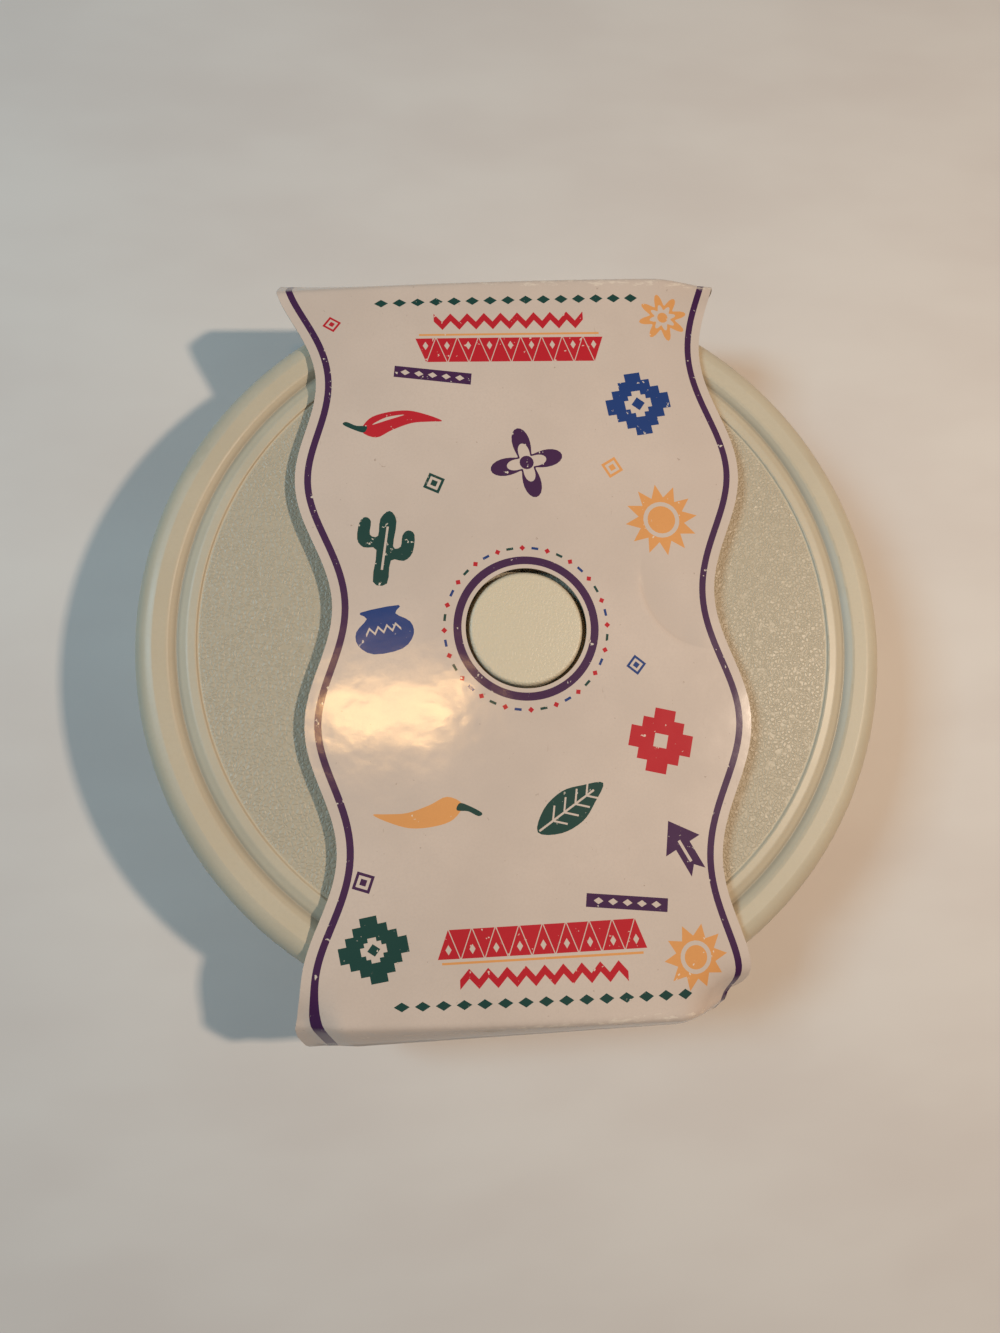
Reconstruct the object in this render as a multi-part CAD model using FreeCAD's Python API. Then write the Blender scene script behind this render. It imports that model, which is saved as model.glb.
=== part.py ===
import FreeCAD, Part
import math
import os

# Round insulated tortilla warmer: a double-walled base, a double-walled lid with a
# centre knob, and a printed paperboard sleeve wrapped round both.
# Millimetres. +Z is up, +X is the picture's right, +Y is away from the viewer.
# The origin is the middle of the underside of the sleeve, which lies on the table.

# Keeper, outer sizes
lid_radius = 120.0
base_height = 34.4
wall = 2.2
liner_wall = 2.0
edge_round = 0.6

# Lid, heights above the seat between lid and base
knob_radius = 17.9
knob_top = 19.0
knob_draft = 0.9
knob_edge_radius = 1.4
knob_root_radius = 1.6
plateau_height = 14.9
plateau_dish = 0.7
ring_width = 6.4
ring_height = 15.6
ring_face_run = 0.5
ring_top_run = 2.6
ring_round = 2.0
rim_width = 13.4
groove_height = 14.2
rim_rise_run = 2.4
rim_rise_height = 16.0
rim_rise_round = 2.0
shoulder_run = 6.6
shoulder_height = 16.6
shoulder_drop = 0.6
shoulder_radius = 6.4
widest_height = 7.0
widest_round = 4.0
skirt_draft = 1.2
spigot_length = 6.0
spigot_clearance = 0.5

# Base, from the lid's radius inwards
double_wall_width = 16.0
cavity_draft = 3.0
cavity_corner_radius = 8.0
floor_gap = 11.4
flange_inset = 1.8
flange_round = 1.2
flange_thickness = 2.0
lip_wall = 2.3
lip_length = 3.0
lip_clearance = 0.3
side_lean = 9.6
side_corner_radius = 10.0
foot_width = 4.0
foot_height = 2.0
foot_gap = 34.0

# Sleeve of thin board
board = 0.6
glue_thickness = 0.1
wall_clearance = 0.5
fold_inset = 2.2
panel_rise = 2.0
panel_clearance = 0.5
window_clearance = 1.1
lap_width = 18.0
lap_step_run = 5.0
glue_inset = 3.0

# The sleeve's wavy edges: mean distance from the middle line, swing, length and crest
# place of the wave, and a lean and a bow, both as they stand at the far fold
left_mean = 63.8
left_swing = 4.6
left_period = 75.0
left_crest = 47.0
left_lean = 2.3
left_bow = 5.0
right_mean = 66.2
right_swing = 5.2
right_period = 82.0
right_crest = 50.0
right_lean = 5.6
right_bow = -2.2
wave_points_per_period = 12

# Sizes that follow
groove_radius = lid_radius - rim_width
plateau_radius = groove_radius - ring_width
lid_foot_radius = lid_radius - skirt_draft
mouth_radius = lid_radius - double_wall_width
floor_radius = mouth_radius - cavity_draft
flange_radius = lid_radius - flange_inset
spigot_radius = mouth_radius - cavity_draft * spigot_length / (base_height - floor_gap) - spigot_clearance
side_top_radius = flange_radius - lip_wall - lip_clearance
side_foot_radius = side_top_radius - side_lean
foot_radius = side_foot_radius - side_corner_radius
wall_reach = lid_radius + wall_clearance + board
fold_reach = wall_reach - fold_inset
window_radius = knob_radius + window_clearance
left_edge = (left_mean, left_swing, left_period, left_crest, left_lean, left_bow)
right_edge = (right_mean, right_swing, right_period, right_crest, right_lean, right_bow)
tube_reach = max(mean + 2 * swing + abs(lean) + abs(bow)
                 for mean, swing, period, crest, lean, bow in (left_edge, right_edge))

# Heights above the table
foot_level = board
base_under = foot_level + foot_height
floor_top = foot_level + floor_gap
seat_level = foot_level + base_height
under_flange = seat_level - flange_thickness
panel_under = seat_level + knob_top + panel_clearance
panel_top = panel_under + board
fold_top = panel_top - panel_rise
widest_level = seat_level + widest_height


def rounded_wire(corners):
    """Closed wire through corners (r, z, rounding), in the plane y = 0."""
    points = [FreeCAD.Vector(c[0], 0, c[1]) for c in corners]
    count = len(points)
    ends = []
    arcs = []
    for index, corner in enumerate(corners):
        here = points[index]
        rounding = corner[2] if len(corner) > 2 else 0.0
        if rounding <= 0.0:
            ends.append((here, here))
            arcs.append(None)
            continue
        back = (points[index - 1] - here).normalize()
        ahead = (points[(index + 1) % count] - here).normalize()
        half = 0.5 * back.getAngle(ahead)
        setback = rounding / math.tan(half)
        middle = (back + ahead).normalize()
        centre = here + middle * (rounding / math.sin(half))
        start = here + back * setback
        end = here + ahead * setback
        ends.append((start, end))
        arcs.append(Part.Arc(start, centre - middle * rounding, end).toShape())
    edges = []
    for index in range(count):
        if arcs[index]:
            edges.append(arcs[index])
        leave = ends[index][1]
        arrive = ends[(index + 1) % count][0]
        if leave.distanceToPoint(arrive) > 1e-6:
            edges.append(Part.LineSegment(leave, arrive).toShape())
    return Part.Wire(edges)


def turned(corners):
    """Solid of revolution about Z."""
    face = Part.Face(rounded_wire(corners))
    return face.revolve(FreeCAD.Vector(0, 0, 0), FreeCAD.Vector(0, 0, 1), 360)


def at_seat(height):
    return seat_level + height


def lid_outside():
    """The lid's whole outer form, filled down to its seat."""
    ring_start = plateau_radius + ring_face_run
    return turned([
        (0, seat_level),
        (lid_foot_radius, seat_level),
        (lid_radius, widest_level, widest_round),
        (lid_foot_radius, at_seat(shoulder_height - shoulder_drop), shoulder_radius),
        (groove_radius + shoulder_run, at_seat(shoulder_height), edge_round),
        (groove_radius + rim_rise_run, at_seat(rim_rise_height), rim_rise_round),
        (groove_radius, at_seat(groove_height), edge_round),
        (ring_start + ring_top_run, at_seat(ring_height), ring_round),
        (ring_start, at_seat(ring_height), edge_round),
        (plateau_radius, at_seat(plateau_height), edge_round),
        (knob_radius + knob_draft, at_seat(plateau_height - plateau_dish), knob_root_radius),
        (knob_radius, at_seat(knob_top), knob_edge_radius),
        (0, at_seat(knob_top)),
    ])


def lid_hollow():
    """The space inside the lid's shell, one wall in from the outside."""
    under_plateau = at_seat(plateau_height - plateau_dish - wall)
    inner_flank = lid_foot_radius - wall
    return turned([
        (0, seat_level),
        (inner_flank, seat_level),
        (inner_flank, under_plateau, shoulder_radius - wall),
        (knob_radius + knob_draft - wall, under_plateau),
        (knob_radius - wall, at_seat(knob_top - wall), edge_round),
        (0, at_seat(knob_top - wall)),
    ])


def lid_liner():
    """The lid's inner wall: seat flange, spigot and the panel over the food."""
    flange_edge = lid_foot_radius - wall
    spigot_inside = spigot_radius - liner_wall
    return turned([
        (0, at_seat(liner_wall)),
        (spigot_inside, at_seat(liner_wall)),
        (spigot_inside, at_seat(-spigot_length), edge_round),
        (spigot_radius, at_seat(-spigot_length), edge_round),
        (spigot_radius, seat_level),
        (flange_edge, seat_level),
        (flange_edge, at_seat(liner_wall)),
        (spigot_radius, at_seat(liner_wall)),
        (spigot_radius, at_seat(2 * liner_wall)),
        (0, at_seat(2 * liner_wall)),
    ])


def below_liner():
    """The space under the lid liner's panel, which is food space and no foam."""
    inside = spigot_radius - 0.5 * liner_wall
    return turned([
        (0, at_seat(-spigot_length)),
        (inside, at_seat(-spigot_length)),
        (inside, at_seat(1.5 * liner_wall)),
        (0, at_seat(1.5 * liner_wall)),
    ])


def foot_notches():
    """Four drain gaps that break the foot ring into arcs."""
    length = 2 * lid_radius
    depth = foot_height
    along_x = Part.makeBox(length, foot_gap, depth,
                           FreeCAD.Vector(-0.5 * length, -0.5 * foot_gap, foot_level))
    along_y = Part.makeBox(foot_gap, length, depth,
                           FreeCAD.Vector(-0.5 * foot_gap, -0.5 * length, foot_level))
    return along_x.fuse(along_y)


def base_outside():
    """The base's whole outer form below its flange, with the foot arcs."""
    foot_inside = foot_radius - foot_width
    body = turned([
        (0, base_under),
        (foot_inside, base_under),
        (foot_inside, foot_level, edge_round),
        (foot_radius, foot_level, edge_round),
        (foot_radius, base_under),
        (side_foot_radius, base_under, side_corner_radius),
        (side_top_radius, under_flange),
        (0, under_flange),
    ])
    return body.cut(foot_notches())


def base_hollow():
    """The space inside the base's outer shell."""
    return turned([
        (0, base_under + wall),
        (side_foot_radius - wall, base_under + wall, side_corner_radius - wall),
        (side_top_radius - wall, under_flange),
        (0, under_flange),
    ])


def base_liner():
    """The base's inner wall: food cavity, flat flange and hooked lip."""
    lip_inside = side_top_radius + lip_clearance
    return turned([
        (0, floor_top - liner_wall),
        (floor_radius + liner_wall, floor_top - liner_wall, cavity_corner_radius + liner_wall),
        (mouth_radius + liner_wall, under_flange),
        (lip_inside, under_flange),
        (lip_inside, under_flange - lip_length, edge_round),
        (flange_radius, under_flange - lip_length, edge_round),
        (flange_radius, seat_level, flange_round),
        (mouth_radius, seat_level, edge_round),
        (floor_radius, floor_top, cavity_corner_radius),
        (0, floor_top),
    ])


def cavity_fill():
    """Everything above the base liner's floor, which is food space and no foam."""
    return turned([
        (0, floor_top - 0.5 * liner_wall),
        (floor_radius, floor_top - 0.5 * liner_wall, cavity_corner_radius),
        (mouth_radius + 0.5 * liner_wall, seat_level),
        (0, seat_level),
    ])


def edge_distance(edge, along):
    """How far an edge of the sleeve stands from its middle line, at a place along the band.
    The lean and the bow belong to the top panel and hold their last value past its folds."""
    mean, swing, period, crest, lean, bow = edge
    wave = swing * math.cos(2 * math.pi * (along - crest) / period)
    held = max(-1.0, min(1.0, along / fold_reach))
    return mean + wave + lean * held + bow * held ** 2


def wave_region(low, high, place):
    """Face between the two wavy edges from low to high along the band. place turns
    (across, along) into a point."""
    step = left_period / wave_points_per_period
    count = max(3, math.ceil((high - low) / step))
    alongs = [low + (high - low) * index / count for index in range(count + 1)]
    edges = []
    for edge, sign in ((left_edge, -1.0), (right_edge, 1.0)):
        curve = Part.BSplineCurve()
        curve.interpolate([place(sign * edge_distance(edge, along), along) for along in alongs])
        edges.append(curve.toShape())
    for along in (low, high):
        start = place(-edge_distance(left_edge, along), along)
        end = place(edge_distance(right_edge, along), along)
        edges.append(Part.LineSegment(start, end).toShape())
    return Part.Face(Part.Wire(Part.__sortEdges__(edges)))


def band_section(inset):
    """The sleeve's closed outline across X: arched top, two leaning walls, flat bottom."""
    x = -tube_reach
    fold = fold_reach - inset
    reach = wall_reach - inset
    top = [
        FreeCAD.Vector(x, -fold, fold_top - inset),
        FreeCAD.Vector(x, 0, panel_top - inset),
        FreeCAD.Vector(x, fold, fold_top - inset),
    ]
    low = [
        FreeCAD.Vector(x, reach, widest_level),
        FreeCAD.Vector(x, reach, inset),
        FreeCAD.Vector(x, -reach, inset),
        FreeCAD.Vector(x, -reach, widest_level),
    ]
    chain = [top[2], *low, top[0]]
    edges = [Part.Arc(*top).toShape()]
    for start, end in zip(chain, chain[1:]):
        edges.append(Part.LineSegment(start, end).toShape())
    return Part.Face(Part.Wire(edges))


def band_tube():
    """A straight tube with the sleeve's section, wider than its widest wave."""
    length = FreeCAD.Vector(2 * tube_reach, 0, 0)
    outer = band_section(0.0).extrude(length)
    inner = band_section(board).extrude(length)
    return outer.cut(inner)


def sleeve_panels():
    """The tube cut to its wavy edges, panel by panel, as the flat blank folds round."""
    tube = band_tube()
    depth = panel_top
    start = fold_reach + board
    stop = fold_reach + fold_top
    top_face = wave_region(-stop, stop, lambda across, along:
                           FreeCAD.Vector(across, along, fold_top - board))
    panels = [tube.common(top_face.extrude(FreeCAD.Vector(0, 0, depth)))]
    for side in (-1.0, 1.0):
        def on_wall(across, along, side=side):
            return FreeCAD.Vector(across, side * (fold_reach - 2 * board),
                                  fold_top - (along * side - fold_reach))
        wall_face = wave_region(min(side * start, side * stop), max(side * start, side * stop),
                                on_wall)
        panels.append(tube.common(wall_face.extrude(FreeCAD.Vector(0, side * depth, 0))))
    return panels


def across_x(section):
    """A (y, z) outline run along X past the sleeve's widest wave."""
    points = [FreeCAD.Vector(-tube_reach, y, z) for y, z in section]
    face = Part.Face(Part.makePolygon(points + points[:1]))
    return face.extrude(FreeCAD.Vector(2 * tube_reach, 0, 0))


def bottom_flaps():
    """The flat bottom: the rear flap below, and the front flap stepped up to lap over it."""
    half_lap = 0.5 * lap_width
    lift = board + glue_thickness
    step_start = -half_lap - lap_step_run
    step_end = -half_lap - board
    rear = [(wall_reach, 0), (-half_lap, 0), (-half_lap, board), (wall_reach, board)]
    front = [
        (-wall_reach, 0),
        (step_start, 0),
        (step_end, lift),
        (half_lap, lift),
        (half_lap, lift + board),
        (step_end, lift + board),
        (step_start, board),
        (-wall_reach, board),
    ]
    start = fold_reach + fold_top
    stop = start + wall_reach + half_lap
    flaps = []
    for side, section in ((1.0, rear), (-1.0, front)):
        def on_table(across, along, side=side):
            return FreeCAD.Vector(across, side * (wall_reach + start) - along, 0)
        zone = wave_region(min(side * start, side * stop), max(side * start, side * stop), on_table)
        flaps.append(across_x(section).common(zone.extrude(FreeCAD.Vector(0, 0, lift + board))))
    return flaps


def sleeve():
    """One folded blank with a round window over the knob."""
    panels = sleeve_panels() + bottom_flaps()
    body = panels[0].multiFuse(panels[1:]).removeSplitter()
    window = Part.makeCylinder(window_radius, 2 * panel_rise + board,
                               FreeCAD.Vector(0, 0, panel_under - panel_rise))
    return body.cut(window)


def glue_seam():
    """The line of glue between the two flaps."""
    half_width = 0.5 * lap_width - glue_inset
    half_length = min(left_mean - left_swing, right_mean - right_swing) - glue_inset
    return Part.makeBox(2 * half_length, 2 * half_width, glue_thickness,
                        FreeCAD.Vector(-half_length, -half_width, board))


def build():
    lid_inner = lid_liner()
    base_inner = base_liner()
    return {
        "base_outer_shell": base_outside().cut(base_hollow()),
        "base_inner_liner": base_inner,
        "base_foam_core": base_hollow().cut(base_inner).cut(cavity_fill()),
        "lid_outer_shell": lid_outside().cut(lid_hollow()),
        "lid_inner_liner": lid_inner,
        "lid_foam_core": lid_hollow().cut(lid_inner).cut(below_liner()),
        "card_sleeve": sleeve(),
        "sleeve_glue_seam": glue_seam(),
    }


os.makedirs("parts", exist_ok=True)
for name, shape in build().items():
    solids = shape.Solids
    print(name, "solids", len(solids), "valid", shape.isValid(), "volume", round(shape.Volume, 1))
    result = solids[0] if len(solids) == 1 else Part.makeCompound(solids)
    result.exportStep("parts/" + name + ".step")
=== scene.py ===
import math

import bpy
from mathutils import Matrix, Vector, kdtree
from mathutils.geometry import delaunay_2d_cdt


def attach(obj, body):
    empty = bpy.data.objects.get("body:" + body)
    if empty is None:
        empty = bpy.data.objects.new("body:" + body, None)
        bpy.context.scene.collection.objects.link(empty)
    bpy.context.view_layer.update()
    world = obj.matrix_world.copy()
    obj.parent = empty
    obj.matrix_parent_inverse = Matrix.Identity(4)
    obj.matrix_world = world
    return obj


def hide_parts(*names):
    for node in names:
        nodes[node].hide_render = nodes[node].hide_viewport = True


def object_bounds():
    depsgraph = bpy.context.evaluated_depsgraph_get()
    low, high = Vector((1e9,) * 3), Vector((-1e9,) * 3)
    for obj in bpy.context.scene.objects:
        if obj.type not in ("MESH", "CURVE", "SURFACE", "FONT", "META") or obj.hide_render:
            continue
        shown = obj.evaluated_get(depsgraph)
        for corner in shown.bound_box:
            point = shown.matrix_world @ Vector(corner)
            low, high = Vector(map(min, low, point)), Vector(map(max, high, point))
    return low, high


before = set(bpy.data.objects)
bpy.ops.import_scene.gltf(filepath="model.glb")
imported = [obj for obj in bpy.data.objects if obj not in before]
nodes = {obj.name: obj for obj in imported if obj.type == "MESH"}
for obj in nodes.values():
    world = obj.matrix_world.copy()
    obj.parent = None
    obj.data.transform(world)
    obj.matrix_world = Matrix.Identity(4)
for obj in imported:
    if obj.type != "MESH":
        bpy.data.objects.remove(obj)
cad_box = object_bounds()

MM = 0.001

# The sleeve's folded form, in millimetres, in the frame of the keeper.
# Across runs along X. Along runs round the keeper and is 0 at the middle of the top panel.
BOARD = 0.6
# From the frame: how far out the foot of a wall stands, and the height of the top panel's middle
REACH = round(cad_box[1][1] / MM, 3)
PANEL_TOP = round(cad_box[1][2] / MM, 3)
# The two top folds: how far out they lie, how far the panel's middle rises over them, and their height
FOLD = REACH - 2.2
RISE = 2.0
FOLD_TOP = PANEL_TOP - RISE
# The height at which the walls stand out most
BULGE_LEVEL = 44.0
# The glue lap under the base: its width, the run of its step and how far it is lifted
LAP = 18.0
LAP_RUN = 5.0
LIFT = 0.7
BAND = FOLD + FOLD_TOP + REACH + 0.5 * LAP
WINDOW = 19.0
# Wavy side edges: mean distance, swing, period, place of a crest, lean and bow at the far fold
LEFT = (63.8, 4.6, 75.0, 47.0, 2.3, 5.0)
RIGHT = (66.2, 5.2, 82.0, 50.0, 5.6, -2.2)
# The bare margin outside the printed line, and the width of that line
MARGIN = 2.85
LINE = 2.1
# The extra margin at the front left corner
FLARE = 2.6
# The half-moon dent: the centre across and along, and the radius of its rim
DENT = (60.7, 14.3, 23.2)
# How far from the middle each top fold is worn most
WORN_LINE = FOLD - 0.3
# Spacing of the mesh points where the board is flat
SPACING = 3.4

# The lid, in metres: the knob's edge, the plateau's edge, the groove, and levels on the lid
KNOB_EDGE = 0.0182
PLATEAU_EDGE = 0.1001
GROOVE = 0.1066
LID_LEVEL = (0.046, 0.048)
KNOB_LEVEL = (0.050, 0.052)


# Node helpers

def new_material(name):
    material = bpy.data.materials.new(name)
    material.use_nodes = True
    return material, material.node_tree, material.node_tree.nodes["Principled BSDF"]


def put(tree, socket, value):
    if isinstance(value, bpy.types.NodeSocket):
        tree.links.new(value, socket)
    else:
        socket.default_value = value


def object_place(tree):
    return tree.nodes.new("ShaderNodeTexCoord").outputs["Object"]


def calc(tree, operation, a, b=0.0):
    node = tree.nodes.new("ShaderNodeMath")
    node.operation = operation
    put(tree, node.inputs[0], a)
    put(tree, node.inputs[1], b)
    return node.outputs[0]


def noise(tree, place, scale, detail=2.0, roughness=0.5):
    node = tree.nodes.new("ShaderNodeTexNoise")
    put(tree, node.inputs["Vector"], place)
    node.inputs["Scale"].default_value = scale
    node.inputs["Detail"].default_value = detail
    node.inputs["Roughness"].default_value = roughness
    return node.outputs[0]


def between(tree, value, low, high, to_low=0.0, to_high=1.0):
    node = tree.nodes.new("ShaderNodeMapRange")
    node.interpolation_type = "SMOOTHSTEP"
    put(tree, node.inputs["Value"], value)
    node.inputs["From Min"].default_value = low
    node.inputs["From Max"].default_value = high
    node.inputs["To Min"].default_value = to_low
    node.inputs["To Max"].default_value = to_high
    return node.outputs["Result"]


def mix(tree, factor, a, b):
    node = tree.nodes.new("ShaderNodeMix")
    node.data_type = "RGBA"
    put(tree, node.inputs[0], factor)
    put(tree, node.inputs[6], a)
    put(tree, node.inputs[7], b)
    return node.outputs[2]


def bump(tree, height, distance, strength=1.0, under=None):
    node = tree.nodes.new("ShaderNodeBump")
    node.inputs["Strength"].default_value = strength
    node.inputs["Distance"].default_value = distance
    put(tree, node.inputs["Height"], height)
    if under is not None:
        tree.links.new(under, node.inputs["Normal"])
    return node.outputs["Normal"]


def stretched(tree, place, scale):
    node = tree.nodes.new("ShaderNodeMapping")
    put(tree, node.inputs["Vector"], place)
    node.inputs["Scale"].default_value = scale
    return node.outputs["Vector"]


def separate(tree, place):
    split = tree.nodes.new("ShaderNodeSeparateXYZ")
    put(tree, split.inputs[0], place)
    return split.outputs["X"], split.outputs["Y"], split.outputs["Z"]


def radius_of(tree, x, y):
    squares = calc(tree, "ADD", calc(tree, "MULTIPLY", x, x), calc(tree, "MULTIPLY", y, y))
    return calc(tree, "SQRT", squares)


def rgb(red, green, blue):
    return (red, green, blue, 1.0)


def shade(colour, factor):
    return tuple(channel * factor for channel in colour[:3]) + (1.0,)


# Plastics, foam and glue

def leather_grain(tree, place):
    """Distance to the nearest edge of small uneven cells."""
    scatter = tree.nodes.new("ShaderNodeTexNoise")
    scatter.inputs["Scale"].default_value = 380.0
    put(tree, scatter.inputs["Vector"], place)
    warp = tree.nodes.new("ShaderNodeVectorMath")
    warp.operation = "MULTIPLY_ADD"
    put(tree, warp.inputs[0], scatter.outputs["Color"])
    warp.inputs[1].default_value = (0.0011, 0.0011, 0.0011)
    put(tree, warp.inputs[2], place)
    cells = tree.nodes.new("ShaderNodeTexVoronoi")
    cells.feature = "DISTANCE_TO_EDGE"
    cells.inputs["Scale"].default_value = 760.0
    put(tree, cells.inputs["Vector"], warp.outputs[0])
    return cells.outputs["Distance"]


def lid_face(tree, place, colour, tone, normal):
    """The lid seen from above: grained plateau with painted shade in its grain, a painted highlight on
    the knob's top, and dirt with painted shade in the groove.
    """
    x, y, height = separate(tree, place)
    radius = radius_of(tree, x, y)
    on_lid = between(tree, height, *LID_LEVEL)
    on_plateau = calc(tree, "MULTIPLY",
                      between(tree, radius, PLATEAU_EDGE - 0.0007, PLATEAU_EDGE, 1.0, 0.0), on_lid)
    grained = calc(tree, "MULTIPLY", on_plateau,
                   between(tree, radius, KNOB_EDGE - 0.0017, KNOB_EDGE + 0.0008, 0.3, 1.0))
    cells = leather_grain(tree, place)
    relief = calc(tree, "MULTIPLY", between(tree, cells, 0.0, 0.30), grained)
    normal = bump(tree, relief, 0.00016, 0.8, normal)
    # Painted shade: the grain's crevices are darkened, and the grained plateau as a whole is made
    # darker, for the shade its relief casts.
    grain_crevice_shade = calc(tree, "MULTIPLY", between(tree, cells, 0.0, 0.12, 1.0, 0.0), grained)
    tone = mix(tree, calc(tree, "MULTIPLY", grain_crevice_shade, 0.12), tone, shade(colour, 0.55))
    tone = mix(tree, calc(tree, "MULTIPLY", grained, 0.75), tone, shade(colour, 0.84))
    # Darker in the groove: partly dirt, partly painted shade.
    from_groove = calc(tree, "ABSOLUTE", calc(tree, "SUBTRACT", radius, GROOVE))
    dirt_and_painted_shade = calc(tree, "MULTIPLY", between(tree, from_groove, 0.0002, 0.0016, 0.55, 0.0), on_lid)
    tone = mix(tree, dirt_and_painted_shade, tone, shade(colour, 0.45))
    # Painted highlight: the knob's top is made lighter than the rest of the lid.
    knob_highlight = calc(tree, "MULTIPLY", between(tree, radius, KNOB_EDGE - 0.0014, KNOB_EDGE, 1.0, 0.0),
                   between(tree, height, *KNOB_LEVEL))
    return mix(tree, knob_highlight, tone, shade(colour, 1.2)), normal


def plastic(name, colour, roughness, is_lid=False):
    """Moulded polypropylene with slight mottling."""
    material, tree, shader = new_material(name)
    place = object_place(tree)
    cloud = noise(tree, place, 28.0, 3.0, 0.55)
    fine = noise(tree, place, 900.0, 3.0, 0.6)
    tone = mix(tree, between(tree, cloud, 0.3, 0.7), shade(colour, 0.965), shade(colour, 1.03))
    tone = mix(tree, between(tree, fine, 0.35, 0.75, 0.0, 0.5), tone, shade(colour, 0.94))
    # Dark specks of dirt.
    dirt_and_painted_shade = noise(tree, place, 420.0, 4.0, 0.7)
    tone = mix(tree, between(tree, dirt_and_painted_shade, 0.70, 0.76, 0.0, 0.35), tone, rgb(0.30, 0.24, 0.16))
    normal = bump(tree, fine, 0.00004, 0.5)
    rough = between(tree, cloud, 0.3, 0.7, roughness - 0.04, roughness + 0.05)
    if is_lid:
        tone, normal = lid_face(tree, place, colour, tone, normal)
    put(tree, shader.inputs["Base Color"], tone)
    put(tree, shader.inputs["Roughness"], rough)
    put(tree, shader.inputs["Normal"], normal)
    shader.inputs["Specular IOR Level"].default_value = 0.4
    shader.inputs["Subsurface Weight"].default_value = 0.06
    shader.inputs["Subsurface Radius"].default_value = (0.004, 0.003, 0.002)
    return material


def bead_foam(name):
    material, tree, shader = new_material(name)
    place = object_place(tree)
    cells = tree.nodes.new("ShaderNodeTexVoronoi")
    cells.inputs["Scale"].default_value = 330.0
    put(tree, cells.inputs["Vector"], place)
    tone = mix(tree, between(tree, cells.outputs["Distance"], 0.2, 0.8),
               rgb(0.88, 0.87, 0.83), rgb(0.72, 0.71, 0.67))
    put(tree, shader.inputs["Base Color"], tone)
    put(tree, shader.inputs["Normal"],
        bump(tree, calc(tree, "SUBTRACT", 1.0, cells.outputs["Distance"]), 0.0006, 0.7))
    shader.inputs["Roughness"].default_value = 0.75
    return material


def dried_glue(name):
    material, tree, shader = new_material(name)
    place = object_place(tree)
    cloud = noise(tree, place, 160.0, 3.0)
    put(tree, shader.inputs["Base Color"],
        mix(tree, cloud, rgb(0.74, 0.60, 0.36), rgb(0.58, 0.43, 0.22)))
    put(tree, shader.inputs["Normal"], bump(tree, cloud, 0.0002, 0.4))
    shader.inputs["Roughness"].default_value = 0.35
    return material


# Board and inks

CARD = rgb(0.605, 0.505, 0.440)
FIBRE = rgb(0.74, 0.66, 0.56)
INKS = {
    "purple": rgb(0.052, 0.012, 0.066),
    "red": rgb(0.490, 0.010, 0.022),
    "blue": rgb(0.008, 0.042, 0.190),
    "green": rgb(0.006, 0.050, 0.042),
    "orange": rgb(0.720, 0.330, 0.110),
}


def painted_dent_shade(tree, x, y):
    """Share of painted shade in the half-moon dent, crisp at its rim and fading inside."""
    away_x = calc(tree, "SUBTRACT", x, DENT[0] * MM)
    away_y = calc(tree, "SUBTRACT", y, DENT[1] * MM)
    radius = radius_of(tree, away_x, away_y)
    facing = calc(tree, "ADD", calc(tree, "MULTIPLY", away_x, -0.8),
                  calc(tree, "MULTIPLY", away_y, -0.6))
    rim = between(tree, radius, (DENT[2] - 0.4) * MM, (DENT[2] + 0.4) * MM, 0.6, 0.0)
    return calc(tree, "MULTIPLY", rim, between(tree, facing, 0.008, 0.021))


def fold_wear(tree, place, y, z):
    """Ragged wear beside the two top folds, from 0 to 0.5."""
    from_middle = calc(tree, "ABSOLUTE", y)
    off_fold = calc(tree, "ABSOLUTE", calc(tree, "SUBTRACT", from_middle, WORN_LINE * MM))
    near = calc(tree, "MULTIPLY", between(tree, off_fold, 0.0006, 0.0052, 1.0, 0.0),
                between(tree, z, BULGE_LEVEL * MM, 0.050))
    ragged = noise(tree, stretched(tree, place, (0.5, 1.6, 1.0)), 420.0, 5.0, 0.75)
    return between(tree, calc(tree, "MULTIPLY", near, ragged), 0.50, 0.60, 0.0, 0.5)


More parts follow.
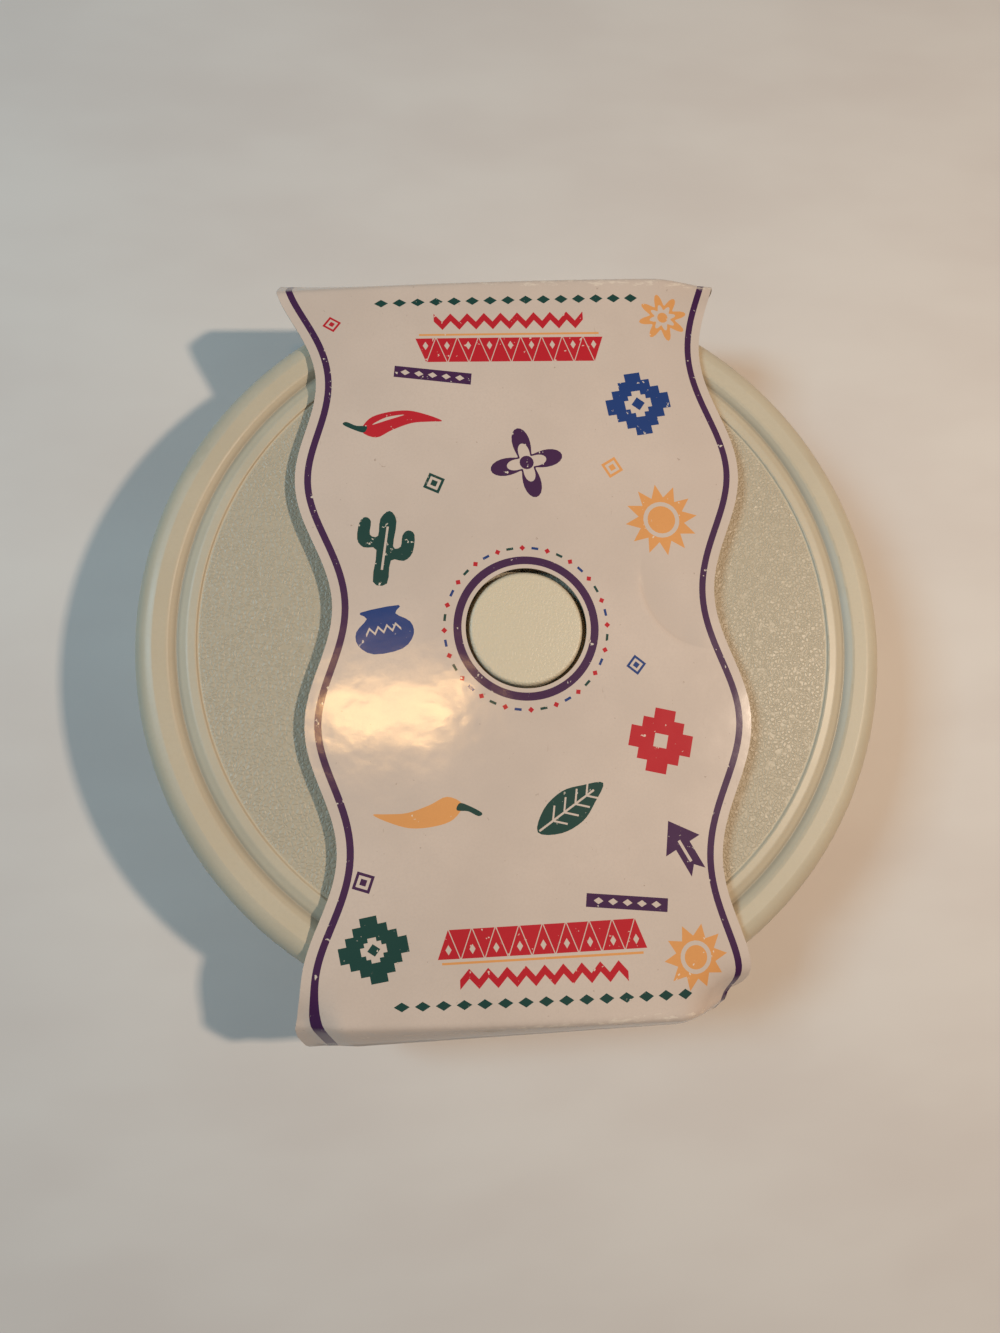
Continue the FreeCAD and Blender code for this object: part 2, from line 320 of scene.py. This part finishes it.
def varnished(name, colour, is_ink):
    """Printed face of the board: ink or bare coating under a gloss varnish, with wear."""
    material, tree, shader = new_material(name)
    place = object_place(tree)
    x, y, z = separate(tree, place)
    cloud = noise(tree, place, 22.0, 3.0, 0.6)
    fine = noise(tree, place, 1500.0, 2.0, 0.6)
    tone = mix(tree, between(tree, cloud, 0.3, 0.72), shade(colour, 0.95), shade(colour, 1.04))
    tone = mix(tree, between(tree, fine, 0.3, 0.8, 0.0, 0.35), tone, shade(colour, 0.88))
    speck = noise(tree, place, 520.0, 3.0, 0.6)
    if is_ink:
        tone = mix(tree, between(tree, speck, 0.665, 0.70, 0.0, 0.85), tone, FIBRE)
    else:
        tone = mix(tree, between(tree, speck, 0.715, 0.75, 0.0, 0.45), tone, rgb(0.20, 0.12, 0.08))
        scuffs = noise(tree, stretched(tree, place, (1.0, 0.16, 1.0)), 700.0, 3.0, 0.7)
        tone = mix(tree, between(tree, scuffs, 0.70, 0.76, 0.0, 0.30), tone, rgb(0.33, 0.24, 0.19))
        # Painted shade inside the half-moon dent.
        tone = mix(tree, painted_dent_shade(tree, x, y), tone, shade(colour, 0.86))
    wear = fold_wear(tree, place, y, z)
    put(tree, shader.inputs["Base Color"], mix(tree, wear, tone, FIBRE))
    peel = noise(tree, place, 330.0, 4.0, 0.62)
    broad = noise(tree, place, 52.0, 2.5, 0.55)
    normal = bump(tree, peel, 0.00003, 0.6, bump(tree, broad, 0.00046, 0.6))
    put(tree, shader.inputs["Normal"], normal)
    put(tree, shader.inputs["Coat Normal"], normal)
    put(tree, shader.inputs["Roughness"], between(tree, wear, 0.0, 0.5, 0.60, 0.8))
    put(tree, shader.inputs["Coat Weight"], between(tree, wear, 0.0, 0.5, 1.0, 0.1))
    put(tree, shader.inputs["Coat Roughness"], between(tree, cloud, 0.3, 0.7, 0.12, 0.18))
    shader.inputs["Specular IOR Level"].default_value = 0.25
    return material


def raw_board(name):
    material, tree, shader = new_material(name)
    place = object_place(tree)
    pulp = noise(tree, stretched(tree, place, (1.0, 0.3, 1.0)), 900.0, 4.0, 0.7)
    cloud = noise(tree, place, 35.0, 3.0)
    tone = mix(tree, pulp, rgb(0.60, 0.53, 0.43), rgb(0.46, 0.39, 0.30))
    tone = mix(tree, between(tree, cloud, 0.3, 0.7, 0.0, 0.3), tone, rgb(0.66, 0.60, 0.50))
    put(tree, shader.inputs["Base Color"], tone)
    put(tree, shader.inputs["Normal"], bump(tree, pulp, 0.00008, 0.6))
    shader.inputs["Roughness"].default_value = 0.85
    return material


# Outlines of the print, in millimetres

def smooth_loop(points, parts=4):
    """Closed Catmull-Rom curve through the points."""
    count = len(points)
    loop = []
    for index in range(count):
        p0, p1, p2, p3 = (Vector(points[(index + k) % count]) for k in (-1, 0, 1, 2))
        for part in range(parts):
            t = part / parts
            loop.append(tuple(0.5 * ((2 * p1) + (p2 - p0) * t + (2 * p0 - 5 * p1 + 4 * p2 - p3) * t * t
                                     + (3 * p1 - p0 - 3 * p2 + p3) * t ** 3)))
    return loop


def placed(points, x, y, turn=0.0, size=1.0):
    c, s = math.cos(math.radians(turn)), math.sin(math.radians(turn))
    return [(x + size * (c * px - s * py), y + size * (s * px + c * py)) for px, py in points]


def circle(radius, count=24):
    return [(radius * math.cos(2 * math.pi * k / count), radius * math.sin(2 * math.pi * k / count))
            for k in range(count)]


def diamond(half_width, half_height):
    return [(half_width, 0), (0, half_height), (-half_width, 0), (0, -half_height)]


def stepped_diamond(step, count):
    """A diamond whose four sides are stairs."""
    quarter = []
    for k in range(count):
        quarter.append(((count - k) * step, k * step))
        quarter.append(((count - k) * step, (k + 1) * step))
    loop = []
    for turn in range(4):
        for x, y in quarter:
            loop.append([(x, y), (-y, x), (-x, -y), (y, -x)][turn])
    return loop


def petals(radius, lobes, depth, count=72):
    loop = []
    for k in range(count):
        angle = 2 * math.pi * k / count
        r = radius * (1 - depth + depth * math.cos(lobes * angle))
        loop.append((r * math.cos(angle), r * math.sin(angle)))
    return loop


def rays(outer, inner, count):
    loop = []
    for k in range(2 * count):
        r = outer if k % 2 == 0 else inner
        loop.append((r * math.cos(math.pi * k / count), r * math.sin(math.pi * k / count)))
    return loop


def zigzag_band(length, height, thick, teeth):
    """A zigzag stripe along X."""
    upper = []
    lower = []
    for k in range(2 * teeth + 1):
        x = -0.5 * length + length * k / (2 * teeth)
        y = height * (0.5 if k % 2 else -0.5)
        upper.append((x, y + 0.5 * thick))
        lower.append((x, y - 0.5 * thick))
    return lower + upper[::-1]


def bar(length, height):
    return [(-0.5 * length, -0.5 * height), (0.5 * length, -0.5 * height),
            (0.5 * length, 0.5 * height), (-0.5 * length, 0.5 * height)]


def triangle(width, height):
    return [(-0.5 * width, -0.5 * height), (0.5 * width, -0.5 * height), (0, 0.5 * height)]


CHILLI = smooth_loop([(-10.5, 1.0), (-7.0, 3.6), (-2.0, 3.4), (4.0, 1.4), (8.6, -2.2), (11.6, -5.6),
                      (8.4, -4.4), (3.4, -2.6), (-2.6, -2.2), (-7.6, -2.4)])
STALK = smooth_loop([(-10.0, 0.4), (-12.0, 2.0), (-14.4, 5.0), (-13.2, 5.4), (-11.2, 3.2), (-8.6, 1.8)])
SHINE = smooth_loop([(-7.0, 1.6), (-2.4, 2.0), (2.6, 0.6), (-2.6, 1.1)])
CACTUS = smooth_loop([(-1.9, -10), (1.9, -10), (2.1, -3.6), (5.6, -3.2), (7.6, -0.6), (7.5, 4.4),
                      (5.6, 5.4), (4.3, 3.8), (4.2, 0.6), (2.2, 0.4), (2.2, 7.6), (0, 10.2),
                      (-2.2, 7.6), (-2.2, 2.8), (-4.4, 2.9), (-4.6, 6.6), (-6.2, 7.6), (-7.6, 6.0),
                      (-7.6, 1.2), (-5.6, -0.9), (-2.1, -1.2)], 3)
LEAF = smooth_loop([(-9.5, 0), (-5.0, 3.6), (1.0, 4.4), (6.0, 2.6), (10.5, 0), (6.0, -2.6),
                    (1.0, -4.4), (-5.0, -3.6)])
VEIN = [(-9.0, -0.25), (7.6, -0.25), (7.6, 0.25), (-9.0, 0.25)]
POT = smooth_loop([(-4.6, 5.0), (4.6, 5.0), (3.4, 3.2), (6.4, 0.6), (6.6, -2.6), (3.4, -5.4),
                   (-3.4, -5.4), (-6.6, -2.6), (-6.4, 0.6), (-3.4, 3.2)], 3)
ARROW = [(-7, -2.2), (1, -2.2), (1, -5.4), (8.5, 0), (1, 5.4), (1, 2.2), (-7, 2.2), (-4.6, 0)]


def chilli(ink, x, y, turn, size, shine=False):
    shapes = [(ink, placed(CHILLI, x, y, turn, size)), ("green", placed(STALK, x, y, turn, size))]
    if shine:
        shapes.append(("card", placed(SHINE, x, y, turn, size)))
    return shapes


def sun(x, y, turn, points, outer, inner, gap, face):
    return [("orange", placed(rays(outer, inner, points), x, y, turn)),
            ("card", placed(circle(gap), x, y)),
            ("orange", placed(circle(face), x, y))]


def flower(ink, x, y, turn, lobes, outer, inner, heart):
    """outer and inner are (radius, depth between the petals), heart is (radius, sides)."""
    return [(ink, placed(petals(outer[0], lobes, outer[1]), x, y, turn)),
            ("card", placed(petals(inner[0], lobes, inner[1]), x, y, turn)),
            (ink, placed(circle(*heart), x, y))]


def rosette(ink, x, y, turn, step, inner_step, heart):
    return [(ink, placed(stepped_diamond(step, 4), x, y, turn)),
            ("card", placed(stepped_diamond(inner_step, 3), x, y, turn)),
            (ink, placed(diamond(heart, heart), x, y, turn))]


def leaf(x, y, turn, size):
    shapes = [("green", placed(LEAF, x, y, turn, size)), ("card", placed(VEIN, x, y, turn, size))]
    for along in (-4.6, -1.2, 2.2, 5.6):
        for side in (-1.0, 1.0):
            rib = placed(bar(3.4, 0.45), along + 1.0, side * 1.45, side * 48.0)
            shapes.append(("card", placed(rib, x, y, turn, size)))
    return shapes


def small_diamond(ink, x, y, turn, size):
    return [(ink, placed(diamond(3.4, 3.4), x, y, turn, size)),
            ("card", placed(diamond(2.3, 2.3), x, y, turn, size)),
            (ink, placed(diamond(1.2, 1.2), x, y, turn, size))]


def end_panel(flip):
    """The ornament at one end of the top panel. flip turns it half round for the far end."""
    shapes = []

    def add(ink, points, x, y, turn=0.0):
        for_end = placed(points, x, y, turn)
        shapes.append((ink, placed(for_end, 0, 0, 180.0 if flip else 0.0)))

    pitch = 7.0
    teeth = 9
    starts = [pitch * (k - 0.5 * (teeth - 1)) for k in range(teeth)]
    for x in starts:
        add("red", triangle(6.4, 8.6), x, -93.6)
        if x < starts[-1]:
            add("red", triangle(6.4, 8.6), x + 0.5 * pitch, -93.6, 180.0)
    for x in starts:
        add("card", diamond(0.9, 1.5), x, -95.2)
    add("red", zigzag_band(50.0, 3.2, 2.9, 9), 0.0, -104.0)
    add("orange", bar(60.0, 0.7), 0.0, -99.2)
    for k in range(15):
        add("green", diamond(2.3, 1.5), -42.0 + 6.0 * k, -111.6)
    add("purple", bar(25.0, 4.0), 26.0, -84.6, -7.0)
    for k in range(5):
        add("card", diamond(1.5, 1.0), 17.3 + 4.4 * k, -83.53 - 0.54 * k, -7.0)
    return shapes


def print_shapes():
    """Every printed shape on the top panel as (ink, outline), painted in this order."""
    shapes = chilli("red", -38.0, 69.0, 24.0, 1.12, shine=True)
    shapes += rosette("blue", 41.5, 74.0, 8.0, 2.7, 1.5, 2.3)
    shapes += [("green", placed(CACTUS, -43.0, 27.0, -9.0, 1.15)),
               ("card", placed(bar(0.7, 14.0), -43.0, 26.6, -9.0))]
    shapes += flower("purple", 3.0, 54.0, 12.0, 4, (12.0, 0.36), (6.6, 0.30), (2.3, 16))
    shapes += sun(46.0, 34.0, 6.0, 12, 12.0, 7.6, 6.0, 4.6)
    shapes += [("blue", placed(POT, -44.0, 1.0, 10.0, 1.3)),
               ("card", placed(zigzag_band(10.8, 1.9, 0.9, 4), -44.2, 1.0, 10.0))]
    shapes += [("red", placed(stepped_diamond(3.3, 3), 40.0, -37.0, -14.0)),
               ("card", placed(bar(4.2, 4.2), 40.0, -37.0, -14.0))]
    shapes += leaf(10.0, -56.0, 33.0, 1.25)
    shapes += chilli("orange", -34.0, -56.0, 200.0, 1.15)
    shapes += [("purple", placed(ARROW, 45.0, -70.0, 118.0, 1.15)),
               ("card", placed(bar(7.2, 0.9), 45.0, -70.6, 118.0))]
    shapes += small_diamond("green", -27.0, 47.5, 20.0, 1.1)
    shapes += small_diamond("orange", 31.0, 52.0, -15.0, 1.1)
    shapes += small_diamond("red", -58.0, 104.0, 10.0, 0.9)
    shapes += small_diamond("purple", -52.0, -74.0, 25.0, 1.1)
    shapes += small_diamond("blue", 34.0, -13.0, 5.0, 0.95)
    shapes += flower("orange", 52.5, 104.5, 10.0, 8, (8.4, 0.24), (4.6, 0.20), (1.8, 14))
    shapes += rosette("green", -49.5, -94.0, 9.0, 2.5, 1.25, 1.9)
    shapes += sun(46.0, -101.5, 4.0, 10, 9.8, 6.2, 4.8, 3.5)
    shapes += end_panel(False) + end_panel(True)
    marks = 40
    for k in range(marks):
        turn = 360.0 / marks * k
        x, y = placed([(25.6, 0)], 0, 0, turn)[0]
        ink = ("red", "blue", "red", "green")[k % 4]
        form = bar(0.8, 2.2) if k % 2 else diamond(0.95, 0.95)
        shapes.append((ink, placed(form, x, y, turn)))
    shapes.append(("purple", circle(22.8, 96)))
    shapes.append(("card", circle(20.3, 96)))
    return shapes


# The folded sleeve

def smoothstep(low, high, value):
    t = min(1.0, max(0.0, (value - low) / (high - low)))
    return t * t * (3 - 2 * t)


def edge_distance(edge, along):
    mean, swing, period, crest, lean, bow = edge
    held = max(-1.0, min(1.0, along / FOLD))
    wave = swing * math.cos(2 * math.pi * (along - crest) / period)
    return mean + wave + lean * held + bow * held ** 2


def edge_line(edge, sign, inset, along):
    """A point on the line that runs inset inside a wavy edge."""
    step = 0.5
    here = edge_distance(edge, along)
    slope = (edge_distance(edge, along + step) - edge_distance(edge, along - step)) / (2 * step)
    scale = math.hypot(1.0, slope)
    return (sign * (here - inset / scale), along + inset * slope / scale)


def torn_margin(along):
    """The bare margin is missing at the front right corner, back to the printed line."""
    return MARGIN * smoothstep(-113.6, -114.8, along) * smoothstep(-150.0, -138.0, along)


def wide_margin(along):
    """The bare margin is wider where the front left corner turns down."""
    return FLARE * smoothstep(-114.0, -124.0, along) * smoothstep(-165.0, -150.0, along)


def fold_shift(across, side):
    """How far the front (side < 0) or far fold lies outside its mean place."""
    t = across / 60.0
    start, bend = (-0.9, -0.6) if side < 0 else (-0.2, -0.9)
    return start + 3.0 * t + bend * t * t


def wall_reach(across, side):
    """How far out a wall stands at the level of its bulge."""
    if side < 0:
        return REACH + 1.4 + 1.0 * across / 60.0
    return REACH + 0.6 + 0.6 * across / 60.0


def sharp_path(across, along):
    """Outer face of the folded board at a place along the band: (y, z) with square folds."""
    side = -1.0 if along < 0 else 1.0
    run = abs(along)
    shift = fold_shift(across, side)
    if run <= FOLD:
        t = run / FOLD
        return side * (run + shift * t ** 5), PANEL_TOP - RISE * t * t
    drop = run - FOLD
    fold = FOLD + shift
    wide = wall_reach(across, side)
    lean = FOLD_TOP - BULGE_LEVEL
    if drop <= lean:
        return side * (fold + (wide - fold) * drop / lean), FOLD_TOP - drop
    if drop <= FOLD_TOP:
        t = (drop - lean) / (FOLD_TOP - lean)
        return side * (wide + (REACH - wide) * t * t), FOLD_TOP - drop
    y = REACH - (drop - FOLD_TOP)
    if side > 0:
        return y, 0.0
    step_start = 0.5 * LAP + LAP_RUN
    step_end = 0.5 * LAP + BOARD
    return -y, LIFT * smoothstep(step_start, step_end, y)


def folded(across, along):
    """Outer point and outward direction, with every fold rounded."""
    bend = 1.3
    y = 0.0
    z = 0.0
    taps = (-1.0, -0.6, -0.2, 0.2, 0.6, 1.0)
    for tap in taps:
        py, pz = sharp_path(across, along + tap * bend)
        y += py / len(taps)
        z += pz / len(taps)
    ay, az = sharp_path(across, along - bend)
    by, bz = sharp_path(across, along + bend)
    ny, nz = -(bz - az), by - ay
    length = math.hypot(ny, nz)
    return y, z, ny / length, nz / length


def beside_fold(along, side, on_top, on_wall):
    """1 at the front (side < 0) or far fold, fading over the two distances given."""
    past = side * along - FOLD
    return math.exp(-(max(0.0, -past) / on_top) ** 2 - (max(0.0, past) / on_wall) ** 2)


def dent_depth(across, along):
    """The half-moon dent: a sharp drop at its rim, then a slow rise inside."""
    cx, cy = across - DENT[0], along - DENT[1]
    radius = math.hypot(cx, cy)
    angle = math.degrees(math.atan2(cy, cx)) % 360.0
    arc = smoothstep(165.0, 192.0, angle) * smoothstep(262.0, 236.0, angle)
    return 0.40 * arc * smoothstep(DENT[2] + 1.4, DENT[2] - 1.0, radius) * smoothstep(6.0, 21.0, radius)


def crumple(across, along):
    """How handling has moved the board from its straight form: (dx, dy, dz)."""
    dx = dy = dz = 0.0
    on_top = smoothstep(FOLD, FOLD - 12.0, abs(along))
    dz += on_top * 0.12 * math.sin(across / 17.0 + 1.3) * math.sin(along / 29.0 + 0.6)
    dz -= dent_depth(across, along)
    if along < 0:
        pressed = smoothstep(40.0, 66.0, across) * beside_fold(along, -1.0, 9.0, 20.0)
        dx -= 4.0 * pressed
        dy += 4.0 * pressed
        dz -= 9.0 * pressed
        inset = across + edge_distance(LEFT, along)
        turned_down = smoothstep(9.0, 1.0, inset) * beside_fold(along, -1.0, 9.0, 26.0)
        dx -= 3.8 * turned_down
        dz -= 4.0 * turned_down
    else:
        softened = smoothstep(50.0, 74.0, across) * beside_fold(along, 1.0, 8.0, 20.0)
        dy -= 1.5 * softened
        dz -= 3.0 * softened
    return dx, dy, dz


def blank_outlines():
    """The flat blank, its border lines and its print: [(ink name, points)], window last."""
    count = 300
    alongs = [BAND * (2 * k / count - 1) for k in range(count + 1)]
    left = [(-edge_distance(LEFT, a) - wide_margin(a), a) for a in alongs]
    right = [(edge_distance(RIGHT, a) - torn_margin(a), a) for a in alongs]
    outlines = [("card", right + left[::-1])]
    stop = BAND - 0.6
    alongs = [stop * (2 * k / count - 1) for k in range(count + 1)]
    for edge, sign in ((LEFT, -1.0), (RIGHT, 1.0)):
        outer = [edge_line(edge, sign, MARGIN, a) for a in alongs]
        inner = [edge_line(edge, sign, MARGIN + LINE, a) for a in alongs]
        outlines.append(("purple", outer + inner[::-1]))
    return outlines + print_shapes() + [("hole", circle(WINDOW, 96))]


def filling_rows():
    """Places along the blank for rows of mesh points, close together at every bend."""
    rows = []
    along = -BAND + 1.0
    while along < BAND - 1.0:
        rows.append(along)
        bends = min(abs(abs(along) - FOLD), abs(abs(along) - FOLD - FOLD_TOP))
        if along < 0:
            bends = min(bends, abs(along + BAND - LAP))
        along += 0.55 if bends < 2.4 else 1.3 if bends < 6.0 else SPACING
    return rows


def filling_points():
    """Mesh points inside the blank: the rows, then arcs along the dent's rim."""
    for row, along in enumerate(filling_rows()):
        low = 1.2 - edge_distance(LEFT, along)
        high = edge_distance(RIGHT, along) - torn_margin(along) - 1.2
        cells = int((high - low) / SPACING)
        shift = 0.25 if row % 2 else -0.25
        for k in range(cells + 1):
            across = low + (high - low) * (k + shift) / cells
            yield min(high, max(low, across)), along, 0.55
    for turn in range(150, 271, 3):
        for off_rim in (-4.0, -2.4, -1.2, -0.5, 0.0, 0.5, 1.2, 2.6):
            across, along = placed([(DENT[2] + off_rim, 0)], DENT[0], DENT[1], turn)[0]
            yield across, along, 0.4


def blank_triangles():
    """The flat blank cut into triangles: (points, faces, ink name of each face)."""
    points = []
    faces = []
    names = []
    for name, loop in blank_outlines():
        doubled_area = sum(a[0] * b[1] - a[1] * b[0] for a, b in zip(loop, loop[1:] + loop[:1]))
        faces.append(list(range(len(points), len(points) + len(loop))))
        points.extend(Vector(p) for p in (loop if doubled_area > 0 else loop[::-1]))
        names.append(name)

    near = kdtree.KDTree(3 * len(points))
    tag = 0
    for face in faces:
        for index, following in zip(face, face[1:] + face[:1]):
            for part in range(3):
                near.insert((*points[index].lerp(points[following], part / 3.0), 0.0), tag)
                tag += 1
    near.balance()
    for across, along, clearance in filling_points():
        if near.find((across, along, 0.0))[2] > clearance:
            points.append(Vector((across, along)))

    verts, _, tris, _, _, owners = delaunay_2d_cdt(points, [], faces, 0, 1e-5, True)
    kept = []
    inks = []
    for tri, owner in zip(tris, owners):
        if 0 in owner and names[max(owner)] != "hole":
            kept.append(tri)
            inks.append(names[max(owner)])
    return verts, kept, inks


def make_sleeve():
    """The printed board as one closed shell with its real thickness."""
    flat, tris, inks = blank_triangles()
    used = sorted({index for tri in tris for index in tri})
    number = {index: k for k, index in enumerate(used)}
    outer = []
    inner = []
    for index in used:
        across, along = flat[index]
        y, z, ny, nz = folded(across, along)
        dx, dy, dz = crumple(across, along)
        outer.append(((across + dx) * MM, (y + dy) * MM, (z + dz) * MM))
        inner.append(((across + dx) * MM, (y + dy - BOARD * ny) * MM, (z + dz - BOARD * nz) * MM))
    total = len(used)
    names = ["card", *INKS, "raw"]
    faces = []
    kinds = []
    edge_use = {}
    for tri, ink in zip(tris, inks):
        face = [number[index] for index in tri]
        faces.append(face)
        kinds.append(names.index(ink))
        faces.append([index + total for index in reversed(face)])
        kinds.append(names.index("raw"))
        for a, b in zip(face, face[1:] + face[:1]):
            edge_use[(a, b)] = edge_use.get((a, b), 0) + 1
    rim = [(a, b) for a, b in edge_use if (b, a) not in edge_use]
    for a, b in rim:
        faces.append([b, a, a + total, b + total])
        kinds.append(names.index("raw"))
    mesh = bpy.data.meshes.new("sleeve_board")
    mesh.from_pydata(outer + inner, [], faces)
    for name in names:
        mesh.materials.append(BOARD_FACES[name])
    mesh.polygons.foreach_set("material_index", kinds)
    mesh.polygons.foreach_set("use_smooth", [True] * len(kinds))
    sharp = {frozenset(pair) for pair in rim} | {frozenset((a + total, b + total)) for a, b in rim}
    for edge in mesh.edges:
        if frozenset(edge.vertices) in sharp:
            edge.use_edge_sharp = True
    mesh.update()
    mesh.validate()
    piece = bpy.data.objects.new("sleeve_board", mesh)
    bpy.context.scene.collection.objects.link(piece)
    return piece


# Finishes on the pieces

ALMOND = rgb(0.500, 0.445, 0.340)
LINER = rgb(0.515, 0.460, 0.360)
finishes = {
    "base_outer_shell": plastic("almond_plastic_base", ALMOND, 0.42),
    "lid_outer_shell": plastic("almond_plastic_lid", ALMOND, 0.42, is_lid=True),
    "base_inner_liner": plastic("liner_plastic_base", LINER, 0.36),
    "lid_inner_liner": plastic("liner_plastic_lid", LINER, 0.36),
    "base_foam_core": bead_foam("white_foam_base"),
    "lid_foam_core": bead_foam("white_foam_lid"),
    "sleeve_glue_seam": dried_glue("dried_glue"),
}
for name, material in finishes.items():
    nodes[name].data.materials.clear()
    nodes[name].data.materials.append(material)

BOARD_FACES = {"card": varnished("board_coating", CARD, False), "raw": raw_board("board_inside")}
for ink_name, ink_colour in INKS.items():
    BOARD_FACES[ink_name] = varnished("ink_" + ink_name, ink_colour, True)

sleeve = make_sleeve()
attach(sleeve, "sleeve")
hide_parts("card_sleeve")


# Table, light and camera

def make_floor():
    half = 3.0
    mesh = bpy.data.meshes.new("table_top")
    mesh.from_pydata([(-half, -half, 0), (half, -half, 0), (half, half, 0), (-half, half, 0)],
                     [], [(0, 1, 2, 3)])
    floor = bpy.data.objects.new("table_top", mesh)
    bpy.context.scene.collection.objects.link(floor)
    floor.location.z = -0.0002
    material, tree, shader = new_material("table_cloth")
    place = object_place(tree)
    cloud = noise(tree, stretched(tree, place, (1.0, 2.2, 1.0)), 9.0, 3.0)
    put(tree, shader.inputs["Base Color"],
        mix(tree, between(tree, cloud, 0.3, 0.7), rgb(0.60, 0.565, 0.545), rgb(0.64, 0.615, 0.595)))
    shader.inputs["Roughness"].default_value = 0.7
    mesh.materials.append(material)


def area_lamp(name, place, aim, size, power, colour):
    data = bpy.data.lights.new(name, "AREA")
    data.shape = "RECTANGLE"
    data.size, data.size_y = size
    data.energy = power
    data.color = colour
    lamp = bpy.data.objects.new(name, data)
    lamp.location = place
    lamp.rotation_euler = (Vector(aim) - Vector(place)).to_track_quat("-Z", "Y").to_euler()
    bpy.context.scene.collection.objects.link(lamp)


make_floor()
area_lamp("warm_lamp_right", place=(0.44, 0.0, 0.72), aim=(0, 0, 0),
          size=(0.04, 0.04), power=4.6, colour=(1.0, 0.79, 0.60))
area_lamp("cool_lamp_left", place=(-0.82, 0.22, 1.02), aim=(0, 0, 0),
          size=(0.36, 0.36), power=8.2, colour=(0.53, 0.83, 1.0))
area_lamp("ceiling_lamp", place=(-0.081, 0.059, 1.3), aim=(-0.081, -0.02, 0),
          size=(0.24, 0.05), power=2.0, colour=(1.0, 0.57, 0.22))

world = bpy.data.worlds.new("room")
bpy.context.scene.world = world
world.use_nodes = True
background = world.node_tree.nodes["Background"]
ray_kind = world.node_tree.nodes.new("ShaderNodeLightPath")
put(world.node_tree, background.inputs["Color"],
    mix(world.node_tree, ray_kind.outputs["Is Camera Ray"],
        rgb(0.018, 0.021, 0.026), rgb(0.56, 0.55, 0.53)))
background.inputs["Strength"].default_value = 1.0

camera_data = bpy.data.cameras.new("camera")
camera_data.lens = 23.5
camera_data.sensor_width = 36.0
camera_data.shift_x = -0.0150
camera_data.shift_y = -0.0274
camera_data.clip_start = 0.01
camera = bpy.data.objects.new("camera", camera_data)
camera.location = (-0.0345, -0.0443, 0.3204)
camera.rotation_euler = (0.1680, -0.1126, -0.0534)
scene = bpy.context.scene
scene.collection.objects.link(camera)
scene.camera = camera
scene.view_settings.view_transform = "Standard"
